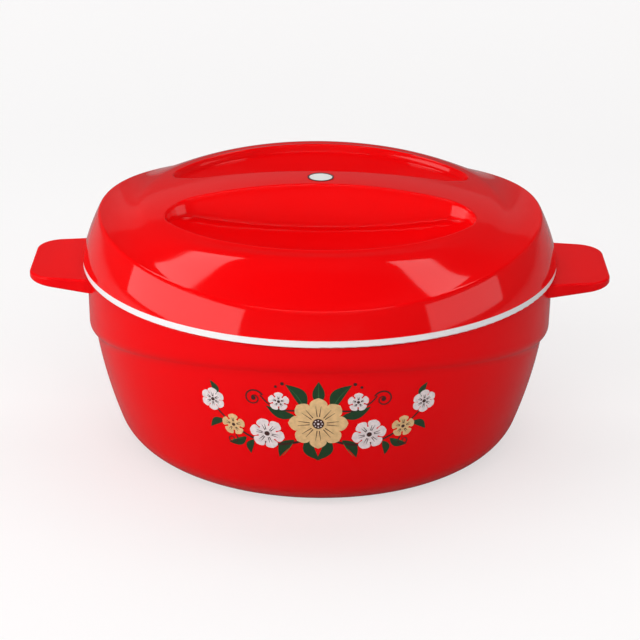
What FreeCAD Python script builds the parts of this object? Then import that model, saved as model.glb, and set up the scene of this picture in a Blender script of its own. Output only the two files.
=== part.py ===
import FreeCAD, Part
import math
import os
import Sketcher
from FreeCAD import Placement, Rotation, Vector

# Insulated chapati casserole: a double-walled bowl with two ears and a lift-off insulated lid.
# +Z is up, +X runs through the two handles, the origin is the centre of the base on the table.

os.makedirs("parts", exist_ok=True)
doc = FreeCAD.newDocument("chapati_casserole")
sheet = doc.addObject("Spreadsheet::Sheet", "dims")

# Driving dimensions in millimetres; skirt_lean is millimetres inward for each millimetre up
SIZES = {
    # Outer bowl, whose wall is one large arc that is upright at its widest level
    "corner_radius": 26.0,
    "wall_arc_radius": 265.0,
    "widest_radius": 133.5,
    "widest_above_top": 3.0,
    "body_height": 105.0,
    "shell_wall": 2.5,
    "foot_width": 8.0,
    "foot_depth": 1.5,
    "lip_fillet": 1.0,
    # Raised band round the shoulder, its lower edge half an ellipse seen from the front
    "band_proud": 1.1,
    "band_draft": 0.8,
    "frown_drop": 45.0,
    "frown_margin": 1.9,
    "frown_rise": 31.5,
    "band_edge_fillet": 4.0,
    # Handles and their snap tongues
    "handle_drop": 1.0,
    "handle_root_thickness": 8.0,
    "handle_tip_thickness": 4.4,
    "handle_length": 31.9,
    "handle_root_width": 72.0,
    "handle_tip_width": 62.0,
    "handle_corner": 16.0,
    "handle_fillet": 1.4,
    "tongue_width": 44.0,
    "tongue_thickness": 3.2,
    "tongue_drop": 3.6,
    "tongue_depth": 7.0,
    "barb_rise": 1.0,
    "barb_length": 2.0,
    "slot_gap": 0.2,
    # Neck ring that closes the foam space and carries the steel bowl
    "neck_setback": 9.5,
    "neck_rise": 3.2,
    "neck_wall": 2.5,
    "ring_plate": 2.6,
    "ring_ledge": 2.0,
    "ring_gap": 0.2,
    # Steel bowl
    "rim_width": 10.0,
    "pan_flare": 38.0,
    "pan_bend_radius": 30.0,
    "floor_foam": 12.0,
    "steel_sheet": 0.8,
    "hem_depth": 2.6,
    "hem_gap": 0.3,
    # Plugs that close the two foam filling holes
    "plug_radius": 8.0,
    "plug_hole_gap": 0.1,
    "plug_head_radius": 11.0,
    "plug_head_thickness": 1.0,
    "plug_barb_width": 0.5,
    "plug_barb_length": 1.2,
    # Lid shell: a leaning skirt met by an oval dome
    "lid_gap": 0.8,
    "lid_overhang": 2.4,
    "skirt_lean": 0.38,
    "lid_wall": 2.5,
    "lid_rise": 45.0,
    "dome_height": 40.5,
    "dome_end_reach": 9.0,
    "dome_side_inset": 1.0,
    "crease_fillet": 4.0,
    # Inner cover of the lid, whose flange shows as the white band
    "flange_thickness": 4.2,
    "flange_inset": 0.2,
    "flange_fillet": 0.8,
    "lid_fit_gap": 0.6,
    "web_thickness": 2.0,
    "plug_depth": 11.0,
    "plug_side_gap": 2.4,
    "rib_rise": 4.0,
    "rib_thickness": 1.6,
    "rib_gap": 0.3,
    # Finger recesses on both sides of the grip bar
    "bar_half_width": 12.0,
    "bar_side_radius": 514.0,
    "recess_margin": 46.0,
    "recess_center_shift": 5.0,
    "recess_tip_radius": 20.0,
    "recess_depth": 24.5,
    "recess_floor_shift": 26.0,
    "recess_floor_drop": 225.0,
    "recess_floor_along": 311.0,
    "recess_floor_across": 225.0,
    "recess_wall_run": 6.0,
    # Badge on the grip bar
    "badge_radius": 7.5,
    "badge_rim_width": 0.8,
    "badge_recess": 1.4,
    "badge_gap": 0.1,
    "badge_proud": 0.2,
}


class Dim:
    """A length with its present value and the sheet expression that gives it."""

    def __init__(self, value, text):
        self.value = value
        self.text = text

    def __add__(self, other):
        other = as_dim(other)
        return Dim(self.value + other.value, "(%s + %s)" % (self.text, other.text))

    def __sub__(self, other):
        other = as_dim(other)
        return Dim(self.value - other.value, "(%s - %s)" % (self.text, other.text))

    def __mul__(self, other):
        other = as_dim(other)
        return Dim(self.value * other.value, "%s * %s" % (self.text, other.text))

    def __truediv__(self, other):
        other = as_dim(other)
        return Dim(self.value / other.value, "%s / %s" % (self.text, other.text))

    def __neg__(self):
        return Dim(-self.value, "(-1 * %s)" % self.text)

    def root(self):
        return Dim(math.sqrt(self.value), "sqrt(%s)" % self.text)


def as_dim(number):
    """Lets plain numbers stand beside sizes in a sum."""
    if isinstance(number, Dim):
        return number
    return Dim(float(number), "%g" % number)


class Sheet:
    """Each size of the sheet as a Dim, by name."""

    def __getattr__(self, name):
        return Dim(float(sheet.get(name)), "dims.%s" % name)


for row, (name, number) in enumerate(SIZES.items(), start=1):
    sheet.set("A%d" % row, name)
    sheet.set("B%d" % row, repr(number))
    sheet.setAlias("B%d" % row, name)
doc.recompute()
d = Sheet()

SUBPARTS = []
ZERO = Dim(0.0, "0")
# How far a cutting solid runs past what it cuts
OVERRUN = as_dim(20)

# Levels and radii that mating pieces share
widest_level = d.body_height + d.widest_above_top
wall_center_x = d.widest_radius - d.wall_arc_radius
bend_reach = d.wall_arc_radius - d.corner_radius
bend_fall = widest_level - d.corner_radius
foot_radius = wall_center_x + (bend_reach * bend_reach - bend_fall * bend_fall).root()
bowl_floor = d.foot_depth + d.shell_wall
band_radius = d.widest_radius + d.band_proud
band_low_radius = band_radius - d.band_draft
frown_level = d.body_height - d.frown_drop
handle_top = d.body_height - d.handle_drop
handle_reach = band_radius + d.handle_length
tongue_top = handle_top - d.tongue_drop
tongue_low = tongue_top - d.tongue_thickness
tongue_end_radius = d.widest_radius - d.tongue_depth
ledge_level = d.body_height - d.ring_plate
ledge_outer = d.widest_radius - d.shell_wall + d.ring_ledge
neck_radius = d.widest_radius - d.neck_setback
neck_top = d.body_height + d.neck_rise
neck_hollow_top = neck_top - d.neck_wall
neck_hollow_radius = neck_radius - d.neck_wall
mouth_radius = neck_radius - d.rim_width
neck_bore = mouth_radius + d.ring_gap
pan_floor_radius = mouth_radius - d.pan_flare
pan_floor_level = bowl_floor + d.floor_foam
hem_inner = neck_radius + d.hem_gap
hem_outer = hem_inner + d.steel_sheet
seat_level = neck_top + d.steel_sheet
plug_hole_radius = d.plug_radius + d.plug_hole_gap
rim_level = d.body_height + d.lid_gap + d.flange_thickness
lid_radius = band_radius + d.lid_overhang
lid_top = rim_level + d.lid_rise
dome_level = lid_top - d.dome_height
web_top = seat_level + d.web_thickness
lid_plug_low = seat_level - d.plug_depth
lid_plug_floor = lid_plug_low + d.web_thickness
lid_plug_radius = mouth_radius - d.steel_sheet - d.plug_side_gap
lid_plug_bore = lid_plug_radius - d.web_thickness
recess_reach = lid_radius - d.recess_margin
recess_outer_radius = recess_reach + d.recess_center_shift


# Sketch helpers

def new_sketch(body, name, role):
    """An empty sketch on one of the body's origin planes."""
    sketch = body.newObject("Sketcher::SketchObject", name)
    plane = [item for item in body.Origin.OriginFeatures if item.Role == role][0]
    sketch.AttachmentSupport = [(plane, "")]
    sketch.MapMode = "FlatFace"
    return sketch


def bind(thing, prop, dim):
    thing.setExpression(prop, dim.text)


def constrain(sketch, kind, *args):
    """Adds a dimension whose last argument is a Dim, and binds it to the sheet."""
    dim = args[-1]
    index = sketch.addConstraint(Sketcher.Constraint(kind, *args[:-1], dim.value))
    sketch.setExpression("Constraints[%d]" % index, dim.text)


def pin(sketch, curve, point, x, y):
    """Fixes a point of a curve at (x, y) from the sketch origin; either may be None."""
    for dim, kind, axis in ((x, "DistanceX", -2), (y, "DistanceY", -1)):
        if dim is ZERO:
            sketch.addConstraint(Sketcher.Constraint("PointOnObject", curve, point, axis))
        elif dim is not None:
            constrain(sketch, kind, -1, 1, curve, point, dim)


def line(sketch, start, end):
    ends = [Vector(x.value, y.value, 0) for x, y in (start, end)]
    return sketch.addGeometry(Part.LineSegment(*ends), False)


def arc(sketch, center, radius, start, end):
    circle = Part.Circle(Vector(center[0], center[1], 0), Vector(0, 0, 1), radius)
    return sketch.addGeometry(Part.ArcOfCircle(circle, start, end), False)


def relate(sketch, kind, *args):
    sketch.addConstraint(Sketcher.Constraint(kind, *args))


def polygon(sketch, *corners):
    """A closed outline of straight lines with every corner set by the sheet."""
    count = len(corners)
    lines = [line(sketch, corners[i], corners[(i + 1) % count]) for i in range(count)]
    for i in range(count):
        relate(sketch, "Coincident", lines[i], 2, lines[(i + 1) % count], 1)
        pin(sketch, lines[i], 1, *corners[i])


def box_corners(low_x, high_x, low_y, high_y):
    return (low_x, low_y), (high_x, low_y), (high_x, high_y), (low_x, high_y)


# Solid helpers

def recomputed(thing):
    doc.recompute()
    return thing


def new_body(name):
    return doc.addObject("PartDesign::Body", name)


def turned(name, draw, *args):
    """A body of one section turned about Z; draw makes the section in its sketch."""
    body = new_body(name)
    sketch = new_sketch(body, name + "_section", "XZ_Plane")
    draw(sketch, *args)
    turn = body.newObject("PartDesign::Revolution", name + "_turn")
    turn.Profile = sketch
    turn.ReferenceAxis = (sketch, ["V_Axis"])
    turn.Angle = 360.0
    return recomputed(body)


def padded(name, role, length, draw, *args):
    """A body of one outline on an origin plane, padded evenly to both sides."""
    body = new_body(name)
    sketch = new_sketch(body, name + "_outline", role)
    draw(sketch, *args)
    pad = body.newObject("PartDesign::Pad", name + "_pad")
    pad.Profile = sketch
    pad.SideType = "Symmetric"
    bind(pad, "Length", length)
    return recomputed(body)


def fuse(name, *solids):
    result = doc.addObject("Part::MultiFuse", name)
    result.Shapes = list(solids)
    return recomputed(result)


def common(name, *solids):
    result = doc.addObject("Part::MultiCommon", name)
    result.Shapes = list(solids)
    return recomputed(result)


def cut(name, base, tool):
    result = doc.addObject("Part::Cut", name)
    result.Base = base
    result.Tool = tool
    return recomputed(result)


def cylinder(name, radius, low, high):
    result = doc.addObject("Part::Cylinder", name)
    bind(result, "Radius", radius)
    bind(result, "Height", high - low)
    bind(result, "Placement.Base.z", low)
    return recomputed(result)


def rounded(name, base, radius, chosen):
    """Fillets the edges of a finished solid that the test function picks."""
    picked = [i + 1 for i, edge in enumerate(base.Shape.Edges) if chosen(edge)]
    result = doc.addObject("Part::Fillet", name)
    result.Base = base
    result.Edges = [(index, radius.value, radius.value) for index in picked]
    return recomputed(result)


def middle_of(edge):
    return edge.valueAt((edge.FirstParameter + edge.LastParameter) / 2)


def off_axis(point):
    return math.hypot(point.x, point.y)


def is_ring(edge, radius, level):
    """Whether an edge is the full circle of this radius about Z at this level."""
    box = edge.BoundBox
    near = 0.05
    return (abs(box.ZMin - level.value) < near and abs(box.ZMax - level.value) < near
            and abs(box.XMax - radius.value) < near and abs(box.XMin + radius.value) < near)


def finish(thing, label):
    """Gives a finished sub-part the label that names its node and file."""
    thing.Label = label
    SUBPARTS.append(thing)
    return thing


# Sections that more than one piece follows

def bowl_section(sketch, inset, floor, top):
    """Half section of the outer bowl, moved in by a wall, between two levels."""
    wall_radius = d.wall_arc_radius - inset
    bend_radius = d.corner_radius - inset
    lean = math.atan2(-bend_fall.value, (foot_radius - wall_center_x).value)
    end = math.asin((top - widest_level).value / wall_radius.value)
    start = math.asin((floor - d.corner_radius).value / bend_radius.value)
    floor_end = foot_radius.value + bend_radius.value * math.cos(start)
    top_end = wall_center_x.value + wall_radius.value * math.cos(end)
    base = line(sketch, (ZERO, floor), (as_dim(floor_end), floor))
    bend = arc(sketch, (foot_radius.value, d.corner_radius.value), bend_radius.value, start, lean)
    wall = arc(sketch, (wall_center_x.value, widest_level.value), wall_radius.value, lean, end)
    roof = line(sketch, (as_dim(top_end), top), (ZERO, top))
    axis = line(sketch, (ZERO, top), (ZERO, floor))
    level_start = floor.value == inset.value
    relate(sketch, "Tangent" if level_start else "Coincident", base, 2, bend, 1)
    relate(sketch, "Tangent", bend, 2, wall, 1)
    relate(sketch, "Coincident", wall, 2, roof, 1)
    relate(sketch, "Coincident", roof, 2, axis, 1)
    relate(sketch, "Coincident", axis, 2, base, 1)
    relate(sketch, "Horizontal", base)
    relate(sketch, "Horizontal", roof)
    pin(sketch, base, 1, ZERO, floor)
    pin(sketch, roof, 2, ZERO, top)
    pin(sketch, wall, 3, wall_center_x, widest_level)
    constrain(sketch, "Radius", wall, wall_radius)
    constrain(sketch, "Radius", bend, bend_radius)
    if not level_start:
        pin(sketch, bend, 3, None, d.corner_radius)


def pan_section(sketch, inset, top):
    """Half section of the steel bowl, moved in by its sheet, up to a level."""
    floor = pan_floor_level + inset
    bend_radius = d.pan_bend_radius - inset
    center_z = pan_floor_level + d.pan_bend_radius
    mouth = mouth_radius - inset
    run = (mouth - pan_floor_radius).value
    rise = (neck_top - center_z).value
    angle = math.atan2(rise, run) - math.acos(bend_radius.value / math.hypot(run, rise))
    bend_end = (as_dim(pan_floor_radius.value + bend_radius.value * math.cos(angle)),
                as_dim(center_z.value + bend_radius.value * math.sin(angle)))
    base = line(sketch, (ZERO, floor), (pan_floor_radius, floor))
    bend = arc(sketch, (pan_floor_radius.value, center_z.value), bend_radius.value,
               -math.pi / 2, angle)
    wall = line(sketch, bend_end, (mouth, neck_top))
    neck = line(sketch, (mouth, neck_top), (mouth, top))
    roof = line(sketch, (mouth, top), (ZERO, top))
    axis = line(sketch, (ZERO, top), (ZERO, floor))
    relate(sketch, "Tangent", base, 2, bend, 1)
    relate(sketch, "Tangent", bend, 2, wall, 1)
    for first, second in ((wall, neck), (neck, roof), (roof, axis), (axis, base)):
        relate(sketch, "Coincident", first, 2, second, 1)
    relate(sketch, "Horizontal", base)
    constrain(sketch, "Radius", bend, bend_radius)
    pin(sketch, base, 1, ZERO, floor)
    pin(sketch, bend, 3, pan_floor_radius, None)
    pin(sketch, wall, 2, mouth, neck_top)
    pin(sketch, neck, 2, mouth, top)
    pin(sketch, roof, 2, ZERO, top)


# Body of the casserole

def make_outer_body():
    """Red outer shell: the bowl, the band with its curved lower edge, and the hollow inside."""
    band_bore = d.widest_radius - OVERRUN
    ring = turned("band_ring", polygon,
                  (band_bore, frown_level), (band_low_radius, frown_level),
                  (band_radius, d.body_height), (band_bore, d.body_height))
    frown = doc.addObject("Part::Ellipse", "frown_curve")
    bind(frown, "MajorRadius", band_radius + d.frown_margin)
    bind(frown, "MinorRadius", d.frown_rise)
    frown.Placement = Placement(Vector(0, 0, 0), Rotation(Vector(1, 0, 0), 90))
    bind(frown, "Placement.Base.z", frown_level)
    prism = doc.addObject("Part::Extrusion", "frown_prism")
    prism.Base = frown
    prism.DirMode = "Custom"
    prism.Dir = Vector(0, 1, 0)
    prism.Solid = True
    prism.Symmetric = True
    bind(prism, "LengthFwd", (band_radius + OVERRUN) * 2)
    band = cut("band_cut", ring, recomputed(prism))

    def is_lower_edge(edge):
        middle = middle_of(edge)
        return (off_axis(middle) > band_low_radius.value - 0.5
                and frown_level.value + 1 < middle.z < ledge_level.value
                and edge.BoundBox.ZLength < d.frown_rise.value + 1
                and edge.BoundBox.YLength > band_radius.value)

    band = rounded("band_rounded", band, d.band_edge_fillet, is_lower_edge)
    bowl = turned("bowl_solid", bowl_section, ZERO, ZERO, d.body_height)
    shell = fuse("shell_solid", bowl, band)
    shell = rounded("shell_lip", shell, d.lip_fillet,
                    lambda edge: is_ring(edge, band_radius, d.body_height))
    hollow = turned("shell_hollow", bowl_section, d.shell_wall, bowl_floor, ledge_level)
    seat = cylinder("ring_seat", ledge_outer, ledge_level, d.body_height + OVERRUN)
    foot = cylinder("foot_recess", foot_radius - d.foot_width, -OVERRUN, d.foot_depth)
    hole = cylinder("shell_fill_hole", plug_hole_radius, -OVERRUN, bowl_floor + OVERRUN)
    slots = padded("handle_slots", "XZ_Plane", d.tongue_width + d.slot_gap * 2, polygon,
                   *box_corners(-(band_radius + OVERRUN), band_radius + OVERRUN,
                                tongue_low - d.slot_gap, tongue_top + d.slot_gap))
    tools = fuse("shell_cutters", hollow, seat, foot, hole, slots)
    return finish(cut("outer_body_cut", shell, tools), "outer_body")


def make_handle(label, side):
    """One flat ear with its snap tongue; side is -1 on the left and 1 on the right."""

    def at(distance):
        return distance if side > 0 else -distance

    ear_start = band_low_radius - OVERRUN
    thickness_low = handle_top - d.handle_root_thickness
    tip_low = handle_top - d.handle_tip_thickness
    ear = padded(label + "_ear", "XZ_Plane", d.handle_root_width, polygon,
                 (at(ear_start), thickness_low), (at(band_low_radius), thickness_low),
                 (at(handle_reach), tip_low), (at(handle_reach), handle_top),
                 (at(ear_start), handle_top))
    plan = new_body(label + "_plan")
    sketch = new_sketch(plan, label + "_plan_outline", "XY_Plane")
    half_root = d.handle_root_width / 2
    half_tip = d.handle_tip_width / 2
    polygon(sketch, (at(ear_start), -half_root), (at(band_low_radius), -half_root),
            (at(handle_reach), -half_tip), (at(handle_reach), half_tip),
            (at(band_low_radius), half_root), (at(ear_start), half_root))
    pad = plan.newObject("PartDesign::Pad", label + "_plan_pad")
    pad.Profile = sketch
    bind(pad, "Length", handle_top + OVERRUN)
    doc.recompute()
    trimmed = common(label + "_trimmed", ear, plan)

    def is_corner(edge):
        middle = middle_of(edge)
        return (edge.BoundBox.ZLength > 1 and edge.BoundBox.XLength < 0.1
                and abs(abs(middle.x) - handle_reach.value) < 0.1 and abs(middle.y) > 1)

    ear = rounded(label + "_corners", trimmed, d.handle_corner, is_corner)

    def is_rim(edge):
        middle = middle_of(edge)
        flat_top = abs(edge.BoundBox.ZMin - handle_top.value) < 0.01
        under = edge.BoundBox.ZMax < tip_low.value + 0.01
        outside = abs(middle.x) > band_low_radius.value - 10 and abs(middle.y) > 1
        tip = abs(middle.x) > handle_reach.value - 1
        along_root = edge.BoundBox.XLength < 0.1 and not tip
        return (flat_top or under) and (outside or tip) and not along_root

    ear = rounded(label + "_rims", ear, d.handle_fillet, is_rim)
    bore = turned(label + "_bore", polygon,
                  (ZERO, frown_level), (band_low_radius, frown_level),
                  (band_radius, d.body_height), (ZERO, d.body_height))
    ear = cut(label + "_seated", ear, bore)
    tongue = padded(label + "_tongue", "XZ_Plane", d.tongue_width, polygon,
                    (at(tongue_end_radius), tongue_low),
                    (at(band_radius + d.tongue_thickness), tongue_low),
                    (at(band_radius + d.tongue_thickness), tongue_top),
                    (at(tongue_end_radius + d.barb_length), tongue_top),
                    (at(tongue_end_radius + d.barb_length), tongue_top + d.barb_rise),
                    (at(tongue_end_radius), tongue_top))
    return finish(fuse(label + "_solid", ear, tongue), label)


def make_neck_ring():
    """White ring that drops into the shell's ledge and stands up to carry the steel rim."""
    ring = turned("neck_ring_body", polygon,
                  (neck_hollow_radius, ledge_level), (ledge_outer - d.ring_gap, ledge_level),
                  (ledge_outer - d.ring_gap, d.body_height), (neck_radius, d.body_height),
                  (neck_radius, neck_top), (neck_bore, neck_top),
                  (neck_bore, neck_hollow_top), (neck_hollow_radius, neck_hollow_top))
    return finish(ring, "neck_ring")


def make_inner_bowl():
    """Steel bowl whose rim lies on the neck ring and is hemmed over its edge."""
    outside = turned("pan_outside", pan_section, ZERO, seat_level)
    rim = turned("pan_rim", polygon,
                 (mouth_radius - OVERRUN, neck_top), (hem_inner, neck_top),
                 (hem_inner, neck_top - d.hem_depth), (hem_outer, neck_top - d.hem_depth),
                 (hem_outer, seat_level), (mouth_radius - OVERRUN, seat_level))
    full = fuse("pan_solid", outside, rim)
    inside = turned("pan_inside", pan_section, d.steel_sheet, seat_level + OVERRUN)
    bowl = cut("pan_shell", full, inside)
    bowl = rounded("pan_rim_rounded", bowl, d.steel_sheet * 0.6,
                   lambda edge: is_ring(edge, hem_outer, seat_level))
    return finish(bowl, "inner_bowl")


def make_plug(label, outside, inside):
    """Snap plug of a filling hole; its head lies on the outer side of the plate."""
    head_end = outside - d.plug_head_thickness
    tip = inside + d.plug_barb_length
    barb = d.plug_radius + d.plug_barb_width
    plug = turned(label + "_body", polygon,
                  (ZERO, head_end), (d.plug_head_radius, head_end),
                  (d.plug_head_radius, outside), (d.plug_radius, outside),
                  (d.plug_radius, inside), (barb, inside),
                  (d.plug_radius, tip), (ZERO, tip))
    return finish(plug, label)


def make_body_insulation(handles, plug):
    """Rigid foam that fills the space between the shell, the neck ring and the steel bowl."""
    filled = turned("foam_outside", bowl_section, d.shell_wall, bowl_floor, ledge_level)
    collar = cylinder("foam_collar", neck_hollow_radius, ledge_level, neck_hollow_top)
    foam = fuse("foam_solid", filled, collar)
    pan = turned("foam_pan", pan_section, ZERO, seat_level)
    tools = fuse("foam_cutters", pan, plug, *handles)
    return finish(cut("body_insulation_cut", foam, tools), "body_insulation")


# Lid

def recess_outline(name, level, grow):
    """Rounded lens of one finger recess at a level, its edge moved out by grow."""
    sketch = doc.addObject("Sketcher::SketchObject", name)
    bind(sketch, "Placement.Base.z", level)
    near_y = d.bar_half_width + d.bar_side_radius
    far_y = recess_reach - recess_outer_radius
    near_radius = d.bar_side_radius + grow
    far_radius = recess_outer_radius + grow
    tip_radius = d.recess_tip_radius + grow
    near_gap = (d.bar_side_radius - d.recess_tip_radius).value
    far_gap = (recess_outer_radius - d.recess_tip_radius).value
    between = (near_y - far_y).value
    tip_y = far_y.value + (far_gap ** 2 - near_gap ** 2 + between ** 2) / (2 * between)
    tip_x = math.sqrt(far_gap ** 2 - (tip_y - far_y.value) ** 2)
    far_turn = math.atan2(tip_y - far_y.value, tip_x)
    near_turn = math.atan2(tip_y - near_y.value, tip_x)
    far_arc = arc(sketch, (0, far_y.value), far_radius.value, far_turn, math.pi - far_turn)
    left_tip = arc(sketch, (-tip_x, tip_y), tip_radius.value, math.pi - far_turn,
                   math.pi - near_turn)
    near_arc = arc(sketch, (0, near_y.value), near_radius.value, -math.pi - near_turn, near_turn)
    right_tip = arc(sketch, (tip_x, tip_y), tip_radius.value, near_turn, far_turn)
    ring = (far_arc, left_tip, near_arc, right_tip)
    for first, second in zip(ring, ring[1:] + ring[:1]):
        relate(sketch, "Tangent", first, 2, second, 1)
    pin(sketch, far_arc, 3, ZERO, far_y)
    pin(sketch, near_arc, 3, ZERO, near_y)
    constrain(sketch, "Radius", far_arc, far_radius)
    constrain(sketch, "Radius", near_arc, near_radius)
    constrain(sketch, "Radius", left_tip, tip_radius)
    constrain(sketch, "Radius", right_tip, tip_radius)
    return recomputed(sketch)


def recess_pair(tag, grow):
    """Both finger recesses as solids, made larger by grow to leave a wall around them."""
    floor_level = lid_top - d.recess_depth
    top = recess_outline("recess_top_" + tag, lid_top + d.recess_depth,
                         grow + d.recess_wall_run)
    low = recess_outline("recess_low_" + tag, floor_level - d.recess_depth,
                         grow - d.recess_wall_run * 2)
    prism = doc.addObject("Part::Loft", "recess_prism_" + tag)
    prism.Sections = [low, top]
    prism.Solid = True
    prism.Ruled = True
    bowl = doc.addObject("Part::Ellipsoid", "recess_floor_" + tag)
    bind(bowl, "Radius1", d.recess_floor_drop + grow)
    bind(bowl, "Radius2", d.recess_floor_along + grow)
    bind(bowl, "Radius3", d.recess_floor_across + grow)
    bind(bowl, "Placement.Base.y", d.recess_floor_shift)
    bind(bowl, "Placement.Base.z", floor_level + d.recess_floor_drop)
    doc.recompute()
    front = common("recess_back_" + tag, prism, bowl)
    mirror = doc.addObject("Part::Mirroring", "recess_front_" + tag)
    mirror.Source = front
    mirror.Normal = Vector(0, 1, 0)
    doc.recompute()
    return front, mirror


def lid_form(tag, inset, low):
    """Skirt cone met by the oval dome, moved in by a wall, from a level up."""
    top = lid_top + OVERRUN
    skirt = doc.addObject("Part::Cone", "skirt_" + tag)
    bind(skirt, "Radius1", lid_radius - inset + (rim_level - low) * d.skirt_lean)
    bind(skirt, "Radius2", lid_radius - inset - (top - rim_level) * d.skirt_lean)
    bind(skirt, "Height", top - low)
    bind(skirt, "Placement.Base.z", low)
    dome = doc.addObject("Part::Ellipsoid", "dome_" + tag)
    bind(dome, "Radius1", d.dome_height - inset)
    bind(dome, "Radius2", lid_radius + d.dome_end_reach - inset)
    bind(dome, "Radius3", lid_radius - d.dome_side_inset - inset)
    bind(dome, "Placement.Base.z", dome_level)
    slab = cylinder("skirt_slab_" + tag, lid_radius + OVERRUN, low - OVERRUN, dome_level)
    return common("lid_form_" + tag, skirt, fuse("dome_form_" + tag, dome, slab))


def make_lid_cover():
    """Red outer shell of the lid: skirt, dome, two finger recesses and the bar between them."""
    form = lid_form("outer", ZERO, rim_level)

    def is_crease(edge):
        middle = middle_of(edge)
        return (middle.z > dome_level.value + 1 and edge.BoundBox.XLength > lid_radius.value / 2
                and off_axis(middle) > lid_radius.value / 2)

    form = rounded("crease_rounded", form, d.crease_fillet, is_crease)
    recesses = recess_pair("outer", ZERO)
    badge_bed = cylinder("badge_bed", d.badge_radius + d.badge_gap, lid_top - d.badge_recess,
                         lid_top + OVERRUN)
    shell = cut("lid_outside", form, fuse("lid_recesses", badge_bed, *recesses))
    inside = lid_form("inner", d.lid_wall, rim_level - OVERRUN)
    walls = fuse("recess_walls", *recess_pair("inner", d.lid_wall))
    hollow = cut("lid_inside", inside, walls)
    return finish(cut("lid_cover_cut", shell, hollow), "lid_cover"), hollow


def make_inner_cover():
    """White inner cover: flange that shows as the band, snap rib, seat web and plug dish."""
    flange_radius = lid_radius - d.flange_inset
    flange_bore = hem_outer + d.lid_fit_gap
    flange_low = rim_level - d.flange_thickness
    rib_top = rim_level + d.rib_rise
    rib_radius = lid_radius - d.lid_wall - d.rib_rise * d.skirt_lean - d.rib_gap
    cover = turned("inner_cover_body", polygon,
                   (plug_hole_radius, lid_plug_low), (lid_plug_radius, lid_plug_low),
                   (lid_plug_radius, seat_level), (flange_bore, seat_level),
                   (flange_bore, flange_low), (flange_radius, flange_low),
                   (flange_radius, rim_level), (rib_radius, rim_level),
                   (rib_radius, rib_top), (rib_radius - d.rib_thickness, rib_top),
                   (rib_radius - d.rib_thickness, web_top), (lid_plug_bore, web_top),
                   (lid_plug_bore, lid_plug_floor), (plug_hole_radius, lid_plug_floor))
    cover = rounded("inner_cover_rounded", cover, d.flange_fillet,
                    lambda edge: is_ring(edge, flange_radius, flange_low))
    return finish(cover, "lid_inner_cover")


def make_lid_insulation(hollow, inner_cover, plug):
    """Rigid foam that fills the lid between its two shells."""
    above = cylinder("foam_above_rim", lid_radius, rim_level, lid_top)
    dome_foam = common("lid_foam_dome", hollow, above)
    dish_foam = cylinder("lid_foam_dish", lid_plug_bore, lid_plug_floor, web_top)
    foam = fuse("lid_foam_solid", dome_foam, dish_foam)
    tools = fuse("lid_foam_cutters", inner_cover, plug)
    return finish(cut("lid_insulation_cut", foam, tools), "lid_insulation")


def make_badge():
    """Plain round badge: a dark rim set in the grip bar with a white disc inside it."""
    bed = lid_top - d.badge_recess
    face = lid_top + d.badge_proud
    rim_bore = d.badge_radius - d.badge_rim_width
    rim = turned("badge_rim_body", polygon,
                 *box_corners(rim_bore, d.badge_radius, bed, face))
    disc = turned("badge_disc_body", polygon,
                  *box_corners(ZERO, rim_bore, bed, face - d.badge_proud))
    finish(rim, "badge_rim")
    finish(disc, "badge_disc")


make_outer_body()
ears = [make_handle("left_handle", -1), make_handle("right_handle", 1)]
make_neck_ring()
make_inner_bowl()
base_plug = make_plug("base_plug", d.foot_depth, bowl_floor)
make_body_insulation(ears, base_plug)
cover, lid_hollow = make_lid_cover()
inner_cover = make_inner_cover()
lid_plug = make_plug("lid_plug", lid_plug_low, lid_plug_floor)
make_lid_insulation(lid_hollow, inner_cover, lid_plug)
make_badge()
doc.recompute()

# Every object and every finished piece is checked before anything is written
for item in doc.Objects:
    if "Invalid" in item.State or "Error" in item.State:
        raise RuntimeError("%s did not compute: %s" % (item.Name, item.State))
for part in SUBPARTS:
    shape = part.Shape
    if shape.isNull() or not shape.isValid() or not shape.Solids:
        raise RuntimeError("%s has no valid solid" % part.Label)
for part in SUBPARTS:
    part.Shape.exportStep("parts/%s.step" % part.Label)
    print("%-18s %d solid %9.0f mm3" % (part.Label, len(part.Shape.Solids), part.Shape.Volume))
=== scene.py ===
import math

import bmesh
import bpy
import numpy as np
from mathutils import Matrix, Vector
from mathutils.geometry import delaunay_2d_cdt


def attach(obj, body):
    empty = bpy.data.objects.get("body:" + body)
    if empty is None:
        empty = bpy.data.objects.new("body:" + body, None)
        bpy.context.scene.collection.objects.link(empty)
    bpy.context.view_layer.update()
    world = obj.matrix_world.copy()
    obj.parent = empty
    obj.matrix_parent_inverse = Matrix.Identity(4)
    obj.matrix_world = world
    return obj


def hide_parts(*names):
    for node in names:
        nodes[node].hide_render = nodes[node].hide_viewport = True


MM = 0.001
COLUMNS = 288
SHARP_FROM = math.radians(50)
WELD = 0.02

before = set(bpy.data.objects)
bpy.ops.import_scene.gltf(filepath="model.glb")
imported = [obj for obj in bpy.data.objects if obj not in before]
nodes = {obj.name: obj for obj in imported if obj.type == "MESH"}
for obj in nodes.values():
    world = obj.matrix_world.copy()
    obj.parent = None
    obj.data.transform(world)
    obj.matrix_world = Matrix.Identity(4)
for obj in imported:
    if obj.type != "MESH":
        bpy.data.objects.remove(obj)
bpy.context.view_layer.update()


# Small helpers

def smooth_min(a, b, blend):
    """The lower of two values, rounded where they come within a blend of each other."""
    mix = np.maximum(blend - np.abs(a - b), 0.0) / blend
    return np.minimum(a, b) - mix * mix * blend / 4


def smooth_max(a, b, blend):
    return -smooth_min(-a, -b, blend)


def steps(start, end, count):
    """Even steps from start to end, without the start itself."""
    return np.linspace(start, end, count + 1)[1:]


def full_turn(count):
    return np.linspace(0.0, 2 * math.pi, count, endpoint=False)


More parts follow.
